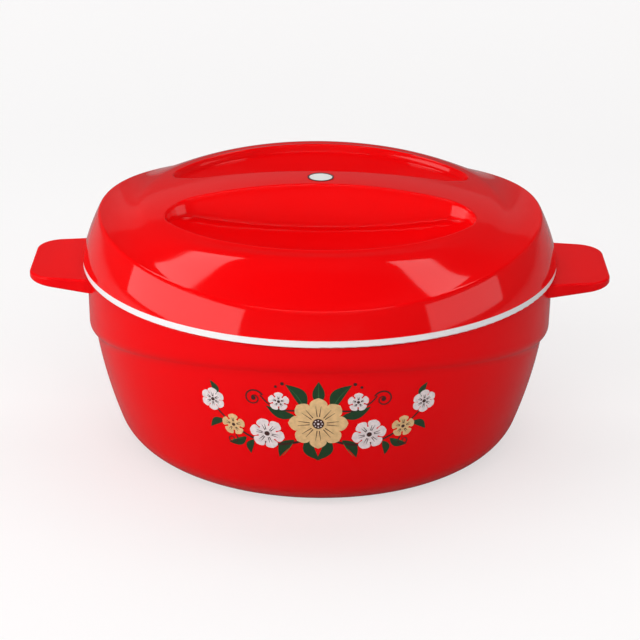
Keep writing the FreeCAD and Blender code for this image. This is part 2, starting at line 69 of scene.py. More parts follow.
def ring(radius, z, phi):
    """Points right round the axis; radius and level may change on the way."""
    radius = np.broadcast_to(radius, phi.shape)
    z = np.broadcast_to(z, phi.shape)
    return np.column_stack((radius * np.cos(phi), radius * np.sin(phi), z))


def ring_faces(rows, columns, closed=False):
    """Quads between rows of points that run right round the axis."""
    faces = []
    last = rows if closed else rows - 1
    for row in range(last):
        low = row * columns
        high = ((row + 1) % rows) * columns
        for column in range(columns):
            following = (column + 1) % columns
            faces.append((low + column, low + following, high + following, high + column))
    return faces


def mesh_object(name, points, faces, material, smooth=True):
    """An object from points in millimetres."""
    mesh = bpy.data.meshes.new(name)
    mesh.from_pydata((np.asarray(points) * MM).tolist(), [], faces)
    mesh.update()
    mesh.materials.append(material)
    if smooth:
        mesh.shade_smooth()
    obj = bpy.data.objects.new(name, mesh)
    bpy.context.scene.collection.objects.link(obj)
    return obj


def give_wall(obj, thickness):
    """Gives a sheet its wall, inwards from its face, with the modifier applied to the mesh."""
    wall = obj.modifiers.new("wall", "SOLIDIFY")
    wall.thickness = thickness * MM
    wall.offset = -1.0
    wall.use_quality_normals = True
    depsgraph = bpy.context.evaluated_depsgraph_get()
    mesh = bpy.data.meshes.new_from_object(obj.evaluated_get(depsgraph))
    obj.modifiers.clear()
    obj.data = mesh
    mesh.shade_smooth()
    mesh.set_sharp_from_angle(angle=SHARP_FROM)


def join_border(obj):
    """Welds points that meet and turns every face outwards."""
    mesh = bmesh.new()
    mesh.from_mesh(obj.data)
    bmesh.ops.remove_doubles(mesh, verts=mesh.verts, dist=WELD * MM)
    bmesh.ops.recalc_face_normals(mesh, faces=mesh.faces)
    if sum(face.normal.z * face.calc_area() for face in mesh.faces) < 0:
        bmesh.ops.reverse_faces(mesh, faces=mesh.faces)
    mesh.to_mesh(obj.data)
    mesh.free()


def close_below(obj, level):
    """Takes the border of a sheet down to a level and closes it there with one flat face."""
    mesh = bmesh.new()
    mesh.from_mesh(obj.data)
    border = [loop for face in mesh.faces for loop in face.loops if loop.edge.is_boundary]
    before = {loop.link_loop_next.vert: loop.vert for loop in border}
    low = {vert: mesh.verts.new((vert.co.x, vert.co.y, level * MM)) for vert in before}
    for end, start in before.items():
        mesh.faces.new((end, start, low[start], low[end])).smooth = True
    vert = border[0].vert
    bottom = []
    for _ in border:
        bottom.append(low[vert])
        vert = before[vert]
    mesh.faces.new(bottom).smooth = True
    mesh.to_mesh(obj.data)
    mesh.free()


# Materials

NOISE_LOW = 0.3
NOISE_HIGH = 0.7
GLOSS_DRIFT_SCALE = 22.0
FLOW_WAVE_SCALE = 60.0
FLOW_WAVE_DEPTH = 0.0004
SPIN_RING_SCALE = 260.0
SPIN_RING_DEPTH = 0.0002
FOAM_CELL_SCALE = 900.0
FOAM_CELL_DEPTH = 0.0006
INK_SCALE = 420.0
INK_THIN_TONE = 0.82


def tinted(color):
    return (color[0], color[1], color[2], 1.0)


def new_material(name):
    material = bpy.data.materials.new(name)
    material.use_nodes = True
    tree = material.node_tree
    return material, tree, tree.nodes["Principled BSDF"]


def noise_node(tree, scale, detail=2.0):
    place = tree.nodes.new("ShaderNodeTexCoord")
    noise = tree.nodes.new("ShaderNodeTexNoise")
    noise.inputs["Scale"].default_value = scale
    noise.inputs["Detail"].default_value = detail
    tree.links.new(place.outputs["Object"], noise.inputs["Vector"])
    return noise


def vary(tree, source, target, low, high):
    """Spreads a noise value over a socket between two numbers."""
    spread = tree.nodes.new("ShaderNodeMapRange")
    spread.inputs["From Min"].default_value = NOISE_LOW
    spread.inputs["From Max"].default_value = NOISE_HIGH
    spread.inputs["To Min"].default_value = low
    spread.inputs["To Max"].default_value = high
    tree.links.new(source, spread.inputs["Value"])
    tree.links.new(spread.outputs["Result"], target)


def add_bump(tree, shader, height, strength, distance):
    """A fine uneven surface from a texture's height."""
    bump = tree.nodes.new("ShaderNodeBump")
    bump.inputs["Strength"].default_value = strength
    bump.inputs["Distance"].default_value = distance
    tree.links.new(height, bump.inputs["Height"])
    tree.links.new(bump.outputs["Normal"], shader.inputs["Normal"])


def plastic(name, color, rough_low, rough_high, grain=0.05, level=0.5, ior=1.47):
    """Moulded plastic: even colour, a gloss that drifts a little and faint flow waves."""
    material, tree, shader = new_material(name)
    shader.inputs["Base Color"].default_value = tinted(color)
    shader.inputs["IOR"].default_value = ior
    shader.inputs["Specular IOR Level"].default_value = level
    drift = noise_node(tree, GLOSS_DRIFT_SCALE)
    vary(tree, drift.outputs["Fac"], shader.inputs["Roughness"], rough_low, rough_high)
    waves = noise_node(tree, FLOW_WAVE_SCALE)
    add_bump(tree, shader, waves.outputs["Fac"], grain, FLOW_WAVE_DEPTH)
    return material


def steel(name):
    """Satin stainless steel with fine rings from spinning."""
    material, tree, shader = new_material(name)
    shader.inputs["Base Color"].default_value = tinted((0.80, 0.79, 0.78))
    shader.inputs["Metallic"].default_value = 0.82
    shader.inputs["Roughness"].default_value = 0.34
    place = tree.nodes.new("ShaderNodeTexCoord")
    rings = tree.nodes.new("ShaderNodeTexWave")
    rings.wave_type = "RINGS"
    rings.rings_direction = "Z"
    rings.inputs["Scale"].default_value = SPIN_RING_SCALE
    rings.inputs["Distortion"].default_value = 1.2
    tree.links.new(place.outputs["Object"], rings.inputs["Vector"])
    add_bump(tree, shader, rings.outputs["Fac"], 0.10, SPIN_RING_DEPTH)
    return material


def foam(name):
    """Rigid foam with small cells."""
    material, tree, shader = new_material(name)
    shader.inputs["Base Color"].default_value = tinted((0.78, 0.66, 0.40))
    shader.inputs["Roughness"].default_value = 0.95
    cells = noise_node(tree, FOAM_CELL_SCALE)
    add_bump(tree, shader, cells.outputs["Fac"], 0.6, FOAM_CELL_DEPTH)
    return material


def ink(name, color):
    """Printed ink film, a little uneven in tone."""
    material, tree, shader = new_material(name)
    noise = noise_node(tree, INK_SCALE, 3.0)
    ramp = tree.nodes.new("ShaderNodeValToRGB")
    thin, full = ramp.color_ramp.elements
    thin.position = 0.35
    full.position = 0.65
    thin.color = tinted([channel * INK_THIN_TONE for channel in color])
    full.color = tinted(color)
    tree.links.new(noise.outputs["Fac"], ramp.inputs["Fac"])
    tree.links.new(ramp.outputs["Color"], shader.inputs["Base Color"])
    shader.inputs["Roughness"].default_value = 0.38
    return material


LID_RED = plastic("lid_red_plastic", (0.80, 0.001, 0.002), 0.05, 0.09, 0.04, level=0.45)
BODY_RED = plastic("body_red_plastic", (0.80, 0.001, 0.003), 0.18, 0.24, 0.05,
                   level=0.4, ior=1.26)
WHITE = plastic("white_plastic", (0.86, 0.84, 0.85), 0.28, 0.36)
DARK = plastic("dark_rim_plastic", (0.015, 0.013, 0.014), 0.25, 0.35)
BADGE_WHITE = plastic("badge_white_film", (0.82, 0.82, 0.80), 0.22, 0.30)
STEEL = steel("spun_steel")
FOAM = foam("rigid_foam")
INK_CREAM = ink("print_cream", (0.80, 0.52, 0.25))
INK_PALE = ink("print_pale", (0.85, 0.74, 0.74))
INK_GREEN = ink("print_green", (0.006, 0.045, 0.012))
INK_LEAF_LIGHT = ink("print_leaf_light", (0.03, 0.14, 0.04))
INK_BROWN = ink("print_brown", (0.045, 0.008, 0.006))

NODE_MATERIALS = {
    "left_handle": BODY_RED, "right_handle": BODY_RED, "outer_body": BODY_RED,
    "lid_cover": LID_RED, "neck_ring": WHITE, "base_plug": WHITE,
    "lid_inner_cover": WHITE, "lid_plug": WHITE, "inner_bowl": STEEL,
    "body_insulation": FOAM, "lid_insulation": FOAM, "badge_rim": DARK,
    "badge_disc": BADGE_WHITE,
}


def dress_nodes():
    for name, material in NODE_MATERIALS.items():
        for place in nodes[name].material_slots:
            place.material = material


# Red body shell: bowl wall with the raised band, whose lower edge is a frown

WALL_ARC = 265.0
WALL_CENTER_X = -131.5
WIDEST_LEVEL = 108.0
FOOT_RADIUS = 93.0
CORNER_RADIUS = 26.0
WALL_LEAN = math.atan2(CORNER_RADIUS - WIDEST_LEVEL, FOOT_RADIUS - WALL_CENTER_X)
BODY_TOP = 105.0
SHELL_WALL = 2.5
FROWN_LEVEL = 60.0
FROWN_REACH = 136.5
FROWN_RISE = 31.5
BAND_LOW_RADIUS = 133.8
BAND_TOP_RADIUS = 134.6
BAND_ROUND = 7.0
BAND_START = 1.5
BAND_SWELL = 2.4
LIP_ROUND = 1.0
LEDGE_RADIUS = 133.0
LEDGE_LEVEL = 102.4
INSIDE_LEVELS = (LEDGE_LEVEL, 90.0, 75.0, 60.0, 45.0, 33.0, 24.0)
INSIDE_BENDS = (-0.6, -0.95, -1.3)
PLUG_HOLE_RADIUS = 8.1
FLOOR_TOP = 4.0
FOOT_RECESS_RADIUS = 85.0
FOOT_RECESS_DEPTH = 1.5
FOOT_RECESS_ROUND = 0.4
FOOT_BEVEL = 0.3


def wall_radius(z):
    return WALL_CENTER_X + np.sqrt(WALL_ARC ** 2 - (z - WIDEST_LEVEL) ** 2)


def band_radius(z):
    rise = (z - FROWN_LEVEL) / (BODY_TOP - FROWN_LEVEL)
    return BAND_LOW_RADIUS + (BAND_TOP_RADIUS - BAND_LOW_RADIUS) * rise


def frown_height(phi):
    across = BAND_LOW_RADIUS * np.cos(phi) / FROWN_REACH
    return FROWN_LEVEL + FROWN_RISE * np.sqrt(1 - across ** 2)


def banded_radius(z, phi):
    """Outer radius of the shell; the band swells out of the wall above the frown's edge."""
    rise = np.clip((z - frown_height(phi) + BAND_START) / BAND_ROUND, 0.0, 1.0)
    swell = 1 - (1 - rise) ** BAND_SWELL
    wall = wall_radius(z)
    return wall + (band_radius(z) - wall) * swell


def corner_ring(turn, inset, phi):
    """Ring on the bend between foot and wall, at a turn of its arc."""
    bend = CORNER_RADIUS - inset
    return ring(FOOT_RADIUS + bend * math.cos(turn), CORNER_RADIUS + bend * math.sin(turn), phi)


def corner_rows(phi):
    """Foot ring and the bend up to the wall."""
    bend = [corner_ring(turn, 0.0, phi) for turn in steps(-math.pi / 2, WALL_LEAN, 14)]
    return [ring(FOOT_RADIUS, 0.0, phi)] + bend


def wall_rows(phi):
    """Rings that start level above the bend, follow the frown's edge and climb the band."""
    start = CORNER_RADIUS * (1 + math.sin(WALL_LEAN))
    edge = frown_height(phi) - BAND_START
    shoulder = edge + BAND_ROUND
    levels = [start + (edge - start) * part for part in steps(0, 1, 18)]
    levels += [edge + BAND_ROUND * part ** 1.5 for part in steps(0, 1, 12)]
    levels += [shoulder + (BODY_TOP - LIP_ROUND - shoulder) * part for part in steps(0, 1, 8)]
    return [ring(banded_radius(z, phi), z, phi) for z in levels]


def lip_rows(phi):
    """Rounded lip, the ledge of the neck ring and the inside wall down to the bend."""
    rows = [ring(BAND_TOP_RADIUS + LIP_ROUND * (math.cos(turn) - 1),
                 BODY_TOP + LIP_ROUND * (math.sin(turn) - 1), phi)
            for turn in steps(0, math.pi / 2, 4)]
    rows += [ring(LEDGE_RADIUS, level, phi) for level in (BODY_TOP, LEDGE_LEVEL)]
    rows += [ring(wall_radius(level) - SHELL_WALL, level, phi) for level in INSIDE_LEVELS]
    rows += [corner_ring(turn, SHELL_WALL, phi) for turn in INSIDE_BENDS]
    return rows


def floor_rows(phi):
    """Floor with the filling hole, and the recess under the foot."""
    corners = (
        (PLUG_HOLE_RADIUS, FLOOR_TOP),
        (PLUG_HOLE_RADIUS, FOOT_RECESS_DEPTH),
        (FOOT_RECESS_RADIUS - FOOT_RECESS_ROUND, FOOT_RECESS_DEPTH),
        (FOOT_RECESS_RADIUS, FOOT_RECESS_DEPTH - FOOT_RECESS_ROUND),
        (FOOT_RECESS_RADIUS, FOOT_BEVEL),
        (FOOT_RECESS_RADIUS + FOOT_BEVEL, 0.0),
    )
    return [ring(radius, level, phi) for radius, level in corners]


def make_body_shell():
    phi = full_turn(COLUMNS)
    rows = corner_rows(phi) + wall_rows(phi) + lip_rows(phi) + floor_rows(phi)
    faces = ring_faces(len(rows), COLUMNS, closed=True)
    shell = mesh_object("body_shell", np.vstack(rows), faces, BODY_RED)
    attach(shell, "casserole")
    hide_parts("outer_body")


# Red lid shell: leaning skirt, oval dome, two lens-shaped recesses and the bar between

RIM_LEVEL = 110.0
LID_RADIUS = 137.0
LID_RISE = 45.0
LID_WALL = 2.2
FOLD_ALONG = 102.9
FOLD_ACROSS = 98.5
FOLD_LEVEL = 31.4
FOLD_RISE = 2.8
FOLD_SOFT = 1.5
FOLD_SPREAD = 2.4
FRONT_BULGE = 3.8
BULGE_PEAK = 4 / 27
SIDE_DISH = 2.2
DISH_PEAK = 1 / 4
CREASE_LEVEL = 20.9
CREASE_SWING = 6.25
CREASE_BLEND = 1.8
SKIRT_LEAN = 0.23
SKIRT_CURVE = 0.005

# Recess outline: a flat arc by the bar, a round arc away from it and two round tips

NEAR_CENTER = 526.0
NEAR_RADIUS = 514.0
FAR_CENTER = -5.0
FAR_RADIUS = 99.0
TIP_RADIUS = 20.0
BETWEEN = NEAR_CENTER - FAR_CENTER
FAR_GAP = FAR_RADIUS - TIP_RADIUS
TIP_RUN = (FAR_GAP ** 2 - (NEAR_RADIUS - TIP_RADIUS) ** 2 + BETWEEN ** 2) / (2 * BETWEEN)
TIP_X = math.sqrt(FAR_GAP ** 2 - TIP_RUN ** 2)
TIP_Y = FAR_CENTER + TIP_RUN
TIP_START = TIP_X * 0.8
FAR_TURN = math.atan2(TIP_Y - FAR_CENTER, TIP_X)
NEAR_TURN = math.atan2(TIP_Y - NEAR_CENTER, TIP_X)

# Recess wall and floor; the floor is the underside of an ellipsoid

WALL_SLOPE = 24.5 / 6.0
WALL_DROP = 0.8
EDGE_BLEND = 3.8
FOOT_BLEND = 3.0
BASIN_LEVEL = 355.5
BASIN_Y = 26.0
BASIN_ALONG = 311.0
BASIN_RADIUS = 225.0

# Spacing of the lid's points, closest at the recess edges and the crease

LENS_DEPTHS = (-3.0, -2.2, -1.6, -1.2, -0.8, -0.4, 0.0, 0.4, 0.8, 1.2, 1.6, 2.2, 3.0,
               3.8, 4.6, 5.2, 5.8, 6.4, 7.0, 7.8, 9.0)
LENS_SPACING = 2.2
LENS_ARC_POINTS = 6
FILLER_SPACING = 3.2
FILLER_ROOM = 0.6
CREASE_INSIDE = 4.5
CREASE_OUTSIDE = 1.5
LID_MERGE = 1e-5


def fold_radius(phi):
    return 1 / np.sqrt((np.cos(phi) / FOLD_ALONG) ** 2 + (np.sin(phi) / FOLD_ACROSS) ** 2)


def crease_height(phi):
    return CREASE_LEVEL + CREASE_SWING * np.cos(2 * phi)


def skirt_radius(height):
    return LID_RADIUS - SKIRT_LEAN * height - SKIRT_CURVE * height ** 2


def skirt_height(radius):
    reach = np.maximum(SKIRT_LEAN ** 2 + 4 * SKIRT_CURVE * (LID_RADIUS - radius), 0.0)
    return (np.sqrt(reach) - SKIRT_LEAN) / (2 * SKIRT_CURVE)


def shoulder_height(radius, phi):
    """Height of dome and shoulder above the rim, before they meet the skirt."""
    fold = fold_radius(phi)
    crease = crease_height(phi)
    run = (radius - fold) / (skirt_radius(crease) - fold)
    level = FOLD_LEVEL + FOLD_RISE * np.sin(phi) ** 2
    bulge = FRONT_BULGE * np.sin(phi) ** 2 * run * (1 - run) ** 2 / BULGE_PEAK
    dish = SIDE_DISH * np.cos(phi) ** 2 * run * (1 - run) / DISH_PEAK
    outer = level + (crease - level) * run + np.where(run < 1, bulge, 0.0) - dish
    dome = level + (LID_RISE - level) * (1 - (radius / fold) ** 2)
    return np.where(radius < fold, dome, outer)


def form_height(radius, phi):
    """Height of the lid's form above the rim, its fold softened along the radius."""
    offsets = np.linspace(-FOLD_SPREAD, FOLD_SPREAD, 7)
    weights = np.exp(-(offsets / FOLD_SOFT) ** 2)
    total = sum(weight * shoulder_height(np.abs(radius + offset), phi)
                for offset, weight in zip(offsets, weights))
    top = total / weights.sum()
    return smooth_min(skirt_height(radius), top, CREASE_BLEND)


def lens_depth(x, y):
    """How far a point lies inside the recess outline; negative outside it."""
    x = np.abs(x)
    y = np.abs(y)
    near = NEAR_RADIUS - np.hypot(x, y - NEAR_CENTER)
    far = FAR_RADIUS - np.hypot(x, y - FAR_CENTER)
    tip = TIP_RADIUS - np.hypot(x - TIP_X, y - TIP_Y)
    turn = np.arctan2(y - TIP_Y, x - TIP_X)
    in_tip = (turn > NEAR_TURN) & (turn < FAR_TURN) & (x > TIP_START)
    return np.where(in_tip, tip, np.minimum(near, far))


def recess_floor(x, y):
    across = np.abs(y) - BASIN_Y
    inside = 1 - (x / BASIN_ALONG) ** 2 - (across / BASIN_RADIUS) ** 2
    return BASIN_LEVEL - BASIN_RADIUS * np.sqrt(inside) - RIM_LEVEL


def lid_height(x, y):
    """Height of the finished lid surface above the rim."""
    radius = np.hypot(x, y)
    top = form_height(radius, np.arctan2(y, x))
    wall = LID_RISE - WALL_SLOPE * lens_depth(x, y) - WALL_DROP * (LID_RISE - top)
    carved = smooth_max(recess_floor(x, y), wall, FOOT_BLEND)
    return smooth_min(top, carved, EDGE_BLEND)


def lens_ring(depth, side):
    """Points along the recess outline, moved in by a depth."""
    arcs = (
        (0.0, FAR_CENTER, FAR_RADIUS, FAR_TURN, math.pi - FAR_TURN),
        (-TIP_X, TIP_Y, TIP_RADIUS, math.pi - FAR_TURN, math.pi - NEAR_TURN),
        (0.0, NEAR_CENTER, NEAR_RADIUS, -math.pi - NEAR_TURN, NEAR_TURN),
        (TIP_X, TIP_Y, TIP_RADIUS, NEAR_TURN, FAR_TURN),
    )
    points = []
    for x, y, arc_radius, start, end in arcs:
        radius = arc_radius - depth
        count = max(LENS_ARC_POINTS, int(abs(end - start) * radius / LENS_SPACING))
        turns = np.linspace(start, end, count, endpoint=False)
        points.append(np.column_stack((x + radius * np.cos(turns),
                                       (y + radius * np.sin(turns)) * side)))
    return np.vstack(points)


def filler_points():
    """Even points over the top that keep clear of the outlines and the outer ring."""
    lines = np.arange(-FOLD_ALONG, FOLD_ALONG + FILLER_SPACING, FILLER_SPACING)
    x, y = np.meshgrid(lines, lines)
    stagger = np.arange(len(lines)) % 2 * FILLER_SPACING / 2
    x = (x + stagger[:, None]).ravel()
    y = y.ravel()
    depth = lens_depth(x, y)
    room = fold_radius(np.arctan2(y, x)) - np.hypot(x, y)
    margin = FILLER_SPACING / 2
    clear = (depth < LENS_DEPTHS[0] - margin) | (depth > LENS_DEPTHS[-1] + margin)
    clear &= room > FILLER_SPACING * FILLER_ROOM
    return np.column_stack((x[clear], y[clear]))


def top_mesh(phi):
    """The middle of the lid, filled in between its outlines."""
    fold = fold_radius(phi)
    outlines = [np.column_stack((fold * np.cos(phi), fold * np.sin(phi)))]
    outlines += [lens_ring(depth, side) for side in (1, -1) for depth in LENS_DEPTHS]
    edges = []
    start = 0
    for outline in outlines:
        count = len(outline)
        edges += [(start + i, start + (i + 1) % count) for i in range(count)]
        start += count
    flat = [Vector(point) for point in np.vstack((*outlines, filler_points()))]
    result = delaunay_2d_cdt(flat, edges, [], 0, LID_MERGE)
    points = np.array([tuple(point) for point in result[0]])
    return points, [tuple(face) for face in result[2]]


def outer_radii(phi):
    """Radii of the rings from the fold over the crease to the rim."""
    fold = fold_radius(phi)
    crease = skirt_radius(crease_height(phi))
    inner = crease - CREASE_INSIDE
    outer = crease + CREASE_OUTSIDE
    rows = [fold + (inner - fold) * part for part in np.linspace(0, 1, 13)]
    rows += [inner + (outer - inner) * part for part in steps(0, 1, 12)]
    rows += [outer + (LID_RADIUS - outer) * part for part in steps(0, 1, 14)]
    return rows


def lid_surface():
    """Points and faces of the whole lid top, from the middle out to the rim."""
    phi = full_turn(COLUMNS)
    flat, faces = top_mesh(phi)
    middle = np.column_stack((flat, lid_height(flat[:, 0], flat[:, 1]) + RIM_LEVEL))
    rings = []
    for radius in outer_radii(phi):
        x = radius * np.cos(phi)
        y = radius * np.sin(phi)
        rings.append(np.column_stack((x, y, np.maximum(lid_height(x, y), 0) + RIM_LEVEL)))
    shift = len(middle)
    skirt = [tuple(i + shift for i in face[::-1]) for face in ring_faces(len(rings), COLUMNS)]
    return np.vstack((middle, *rings)), faces + skirt


def make_lid_shell():
    shell = mesh_object("lid_shell", *lid_surface(), LID_RED)
    join_border(shell)
    give_wall(shell, LID_WALL)
    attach(shell, "lid")
    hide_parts("lid_cover")


# Foam under the lid shell, which follows its recesses and ends above the inner cover

FOAM_SIDE_GAP = 4.6
FOAM_GAP = 3.0
FOAM_LOW = 114.3
FOAM_EDGE = 0.5
FOAM_DIRECTIONS = 12


def foam_top(points):
    """The lid surface drawn in at the sides and kept a gap below the shell on every side."""
    phi = np.arctan2(points[:, 1], points[:, 0])
    reach = np.hypot(points[:, 0], points[:, 1])
    reach -= FOAM_SIDE_GAP * np.clip((reach - FOLD_ALONG) / (LID_RADIUS - FOLD_ALONG), 0, 1)
    x = reach * np.cos(phi)
    y = reach * np.sin(phi)
    heights = [lid_height(x + FOAM_GAP * math.cos(turn), y + FOAM_GAP * math.sin(turn))
               for turn in full_turn(FOAM_DIRECTIONS)]
    top = np.min(heights + [lid_height(x, y)], axis=0) + RIM_LEVEL - FOAM_GAP
    return np.column_stack((x, y, np.maximum(top, FOAM_LOW + FOAM_EDGE)))


def make_lid_foam():
    points, faces = lid_surface()
    foam_block = mesh_object("lid_foam", foam_top(points), faces, FOAM)
    join_border(foam_block)
    close_below(foam_block, FOAM_LOW)
    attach(foam_block, "lid")
    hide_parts("lid_insulation")


# Print on the front of the body: a symmetric spray of round flowers between curling stems

PRINT_LEVEL = 59.0
PRINT_RADIUS = 129.0
PRINT_GRID = 3.0
PRINT_MERGE = 1e-4
FILM = 0.03
LEAF_LIFT = 0.10
STEM_LIFT = 0.15
PETAL_LIFT = 0.20
VEIN_LIFT = 0.25
SEED_LIFT = 0.30
UP = math.pi / 2
PETAL_SKEW = 1.7
PETAL_ROUND = 0.75
LEAF_SKEW = 0.85
CURL_SHRINK = 0.82
HEART_SHARE = 0.42
VEIN_SPREAD = 0.13
VEIN_WIDE = 0.55
VEIN_THIN = 0.15
SEED_COUNT = 8
SEED_RING = 2.1

# The flowers of the spray; all but the middle one have a mirror image

MIDDLE_FLOWER = {"place": (0, 0), "count": 8, "turn": UP}
LOW_FLOWER = {"place": (28, -8), "count": 6, "turn": 0.2}
SIDE_FLOWER = {"place": (47, -5), "count": 5, "turn": 0.3}
OUTER_FLOWER = {"place": (58, 9), "count": 6, "turn": UP}
HIGH_FLOWER = {"place": (21, 13), "count": 5, "turn": UP}
HIGH_CURL = (34.6, 13.8)
LOW_CURL = (48.5, -14.5)


def placed(x, y, turn, along, side):
    """Points along and beside a line that leaves (x, y) at a turn."""
    return np.column_stack((x + along * math.cos(turn) - side * math.sin(turn),
                            y + along * math.sin(turn) + side * math.cos(turn)))


def there_and_back(out, back):
    """Values along one side of an outline and back along the other, without the ends twice."""
    return np.concatenate((out, back[-2:0:-1]))


def petal(x, y, turn, start, length, width):
    """Outline of one petal that points away from (x, y)."""
    part = np.linspace(0, 1, 15)
    along = start + length * part
    half = width / 2 * np.sin(math.pi * part ** PETAL_SKEW) ** PETAL_ROUND
    return placed(x, y, turn, there_and_back(along, along), there_and_back(half, -half))


def leaf(x, y, turn, length, width, bend=0.15):
    """Outline of a pointed leaf with a bent midrib."""
    part = np.linspace(0, 1, 13)
    along = part * length
    half = width / 2 * np.sin(math.pi * part ** LEAF_SKEW)
    middle = bend * length * np.sin(math.pi * part)
    side = there_and_back(middle + half, middle - half)
    return placed(x, y, turn, there_and_back(along, along), side)


def disc(x, y, radius, count=14):
    turns = full_turn(count)
    return np.column_stack((x + radius * np.cos(turns), y + radius * np.sin(turns)))


def stroke(path, wide, thin):
    """A line that tapers from wide to thin, as a chain of short outlines."""
    along = np.gradient(path, axis=0)
    normal = np.column_stack((-along[:, 1], along[:, 0]))
    normal /= np.linalg.norm(normal, axis=1)[:, None]
    half = np.linspace(wide, thin, len(path))[:, None] / 2
    left = path + normal * half
    right = path - normal * half
    return [np.array((right[i], right[i + 1], left[i + 1], left[i]))
            for i in range(len(path) - 1)]


def arch(start, bend, end, count=22):
    """A smooth curve from start to end that leans towards bend."""
    part = np.linspace(0, 1, count)[:, None]
    return ((1 - part) ** 2 * np.array(start) + 2 * part * (1 - part) * np.array(bend)
            + part ** 2 * np.array(end))


def curl(x, y, radius, turn, turns, count=34):
    """A tendril that winds in towards (x, y)."""
    part = np.linspace(0, 1, count)
    reach = radius * (1 - CURL_SHRINK * part)
    angle = turn + 2 * math.pi * turns * part
    return np.column_stack((x + reach * np.cos(angle), y + reach * np.sin(angle)))


def flower(place, count, turn, start, length, width):
    """Petals around a place, with a disc that joins them."""
    petals = [petal(*place, turn + 2 * math.pi * i / count, start, length, width)
              for i in range(count)]
    return petals + [disc(*place, start + length * HEART_SHARE)]


def veins(place, count, turn, start, length):
    """Two short strokes along each petal of a flower."""
    reach = np.linspace(start, start + length, 5)
    lines = []
    for i in range(count):
        for spread in (-VEIN_SPREAD, VEIN_SPREAD):
            angle = turn + 2 * math.pi * i / count + spread
            path = placed(*place, angle, reach, np.zeros(len(reach)))
            lines += stroke(path, VEIN_WIDE, VEIN_THIN)
    return lines


def both_sides(outlines):
    """The outlines and their mirror images about the middle."""
    return outlines + [outline[::-1] * np.array((-1, 1)) for outline in outlines]


def fill(outlines):
    """Flat points and faces inside the outlines, on a grid fine enough to bend round the body."""
    points = []
    loops = []
    for outline in outlines:
        loops.append(list(range(len(points), len(points) + len(outline))))
        points += [Vector(point) for point in outline]
    low = np.min([tuple(point) for point in points], axis=0)
    high = np.max([tuple(point) for point in points], axis=0)
    for u in np.arange(low[0], high[0], PRINT_GRID):
        points += [Vector((u, v)) for v in np.arange(low[1], high[1], PRINT_GRID)]
    result = delaunay_2d_cdt(points, [], loops, 1, PRINT_MERGE)
    flat = np.array([tuple(point) for point in result[0]])
    used = sorted({i for face in result[2] for i in face})
    index = {old: new for new, old in enumerate(used)}
    return flat[used], [tuple(index[i] for i in face) for face in result[2]]


def print_piece(name, outlines, lift, material):
    """One film of ink that follows the shell's surface."""
    flat, faces = fill(outlines)
    phi = flat[:, 0] / PRINT_RADIUS - math.pi / 2
    z = flat[:, 1] + PRINT_LEVEL
    film = mesh_object(name, ring(banded_radius(z, phi) + lift, z, phi), faces, material)
    give_wall(film, FILM)
    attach(film, "casserole")


def leaf_outlines():
    pairs = [
        leaf(6, -9, -2.0, 17, 6.5),
        leaf(7, 9, 0.95, 18, 7.0),
        leaf(13, -11, -0.95, 15, 5.5),
        leaf(12, 4, 0.35, 17, 5.5, bend=-0.1),
        leaf(40, -12, -0.45, 12, 4.6, bend=-0.12),
        leaf(36, -13, -1.35, 10, 4.2),
        leaf(52, -3, -0.6, 11, 4.2),
        leaf(56, 11, 1.25, 10, 4.0),
    ]
    return both_sides(pairs) + [leaf(0, 12, UP, 14, 6.5, bend=0)]


def rib_outlines():
    pairs = stroke(arch((8, 11), (11, 18), (16, 22)), 0.5, 0.2)
    pairs += stroke(arch((14, -13), (17, -19), (20, -22)), 0.5, 0.2)
    pairs += stroke(arch((42, -13), (46, -14), (50, -16)), 0.4, 0.2)
    return both_sides(pairs) + stroke(arch((0, 14), (0, 19), (0, 25)), 0.5, 0.2)


def stem_outlines():
    pairs = stroke(arch((6, -10), (34, -24), (58, 6)), 1.5, 0.8)
    pairs += stroke(arch((12, 8), (24, 6), (31, 16)), 1.0, 0.7)
    pairs += stroke(curl(*HIGH_CURL, 5.4, 2.7, turns=-1.4), 0.9, 0.5)
    pairs += stroke(curl(*LOW_CURL, 3.6, 2.2, turns=1.2), 0.8, 0.4)
    pairs += [disc(19, 24, 1.0), disc(22.5, 22, 0.8), disc(*HIGH_CURL, 1.3)]
    return both_sides(pairs)


def cream_outlines():
    middle = flower(**MIDDLE_FLOWER, start=3.4, length=12.8, width=9.4)
    return middle + both_sides(flower(**SIDE_FLOWER, start=1.4, length=5.4, width=5.6))


def pale_outlines():
    pairs = flower(**LOW_FLOWER, start=2.0, length=7.8, width=7.2)
    pairs += flower(**OUTER_FLOWER, start=1.4, length=5.6, width=5.4)
    pairs += flower(**HIGH_FLOWER, start=1.2, length=4.6, width=4.9)
    return both_sides(pairs)


def vein_outlines():
    pairs = veins(**LOW_FLOWER, start=2.6, length=3.6)
    pairs += veins(**SIDE_FLOWER, start=2.0, length=2.4)
    pairs += veins(**OUTER_FLOWER, start=1.6, length=2.4)
    pairs += veins(**HIGH_FLOWER, start=1.4, length=1.8)
    pairs += [disc(*LOW_FLOWER["place"], 1.5), disc(*SIDE_FLOWER["place"], 1.0),
              disc(*OUTER_FLOWER["place"], 1.1), disc(*HIGH_FLOWER["place"], 0.9)]
    return veins(**MIDDLE_FLOWER, start=4.6, length=6.5) + both_sides(pairs)


def seed_outlines():
    seeds = [disc(SEED_RING * math.cos(turn), SEED_RING * math.sin(turn), 0.42, 8)
             for turn in full_turn(SEED_COUNT)]
    return seeds + [disc(0, 0, 0.7, 8)]


